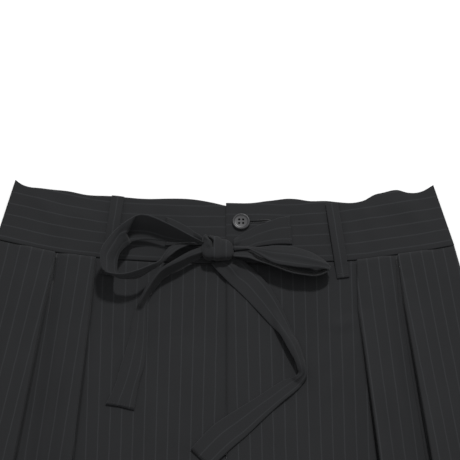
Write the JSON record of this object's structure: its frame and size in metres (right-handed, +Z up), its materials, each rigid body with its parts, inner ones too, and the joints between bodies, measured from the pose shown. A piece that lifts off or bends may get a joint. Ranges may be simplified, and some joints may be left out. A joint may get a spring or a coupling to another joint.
{
  "type": "hakama trousers",
  "caption": "Wide pleated wrap-look trousers laid flat, with a broad buttoned waistband, belt loops and a tied bow.",
  "frame": {"origin": "on the surface it lies on, under the middle of the garment's bounding box", "axes": "+Y towards the waist, +X to the viewer's right (the wearer's left), +Z up from the surface"},
  "size_m": [0.848, 0.9711, 0.0296],
  "materials": {
    "cloth": "matt charcoal wool twill with thin grey pinstripes 11 mm apart",
    "button": "dark grey moulded resin with a soft gloss"
  },
  "bodies": {
    "root": {"back_leg_left": "cloth", "back_leg_right": "cloth", "belt_loop_back_centre": "cloth", "belt_loop_back_left": "cloth", "belt_loop_back_right": "cloth", "belt_loop_front_left": "cloth", "belt_loop_front_right": "cloth", "bow_loop_left": "cloth", "bow_loop_right": "cloth", "front_leg_left": "cloth", "front_leg_right": "cloth", "tie_base_left": "cloth", "tie_base_right": "cloth", "tie_knot": "cloth", "tie_tail_left": "cloth", "tie_tail_right": "cloth", "waistband_back": "cloth", "waistband_front_left": "cloth", "waistband_front_right": "cloth", "button": "button"}
  },
  "joints": []
}
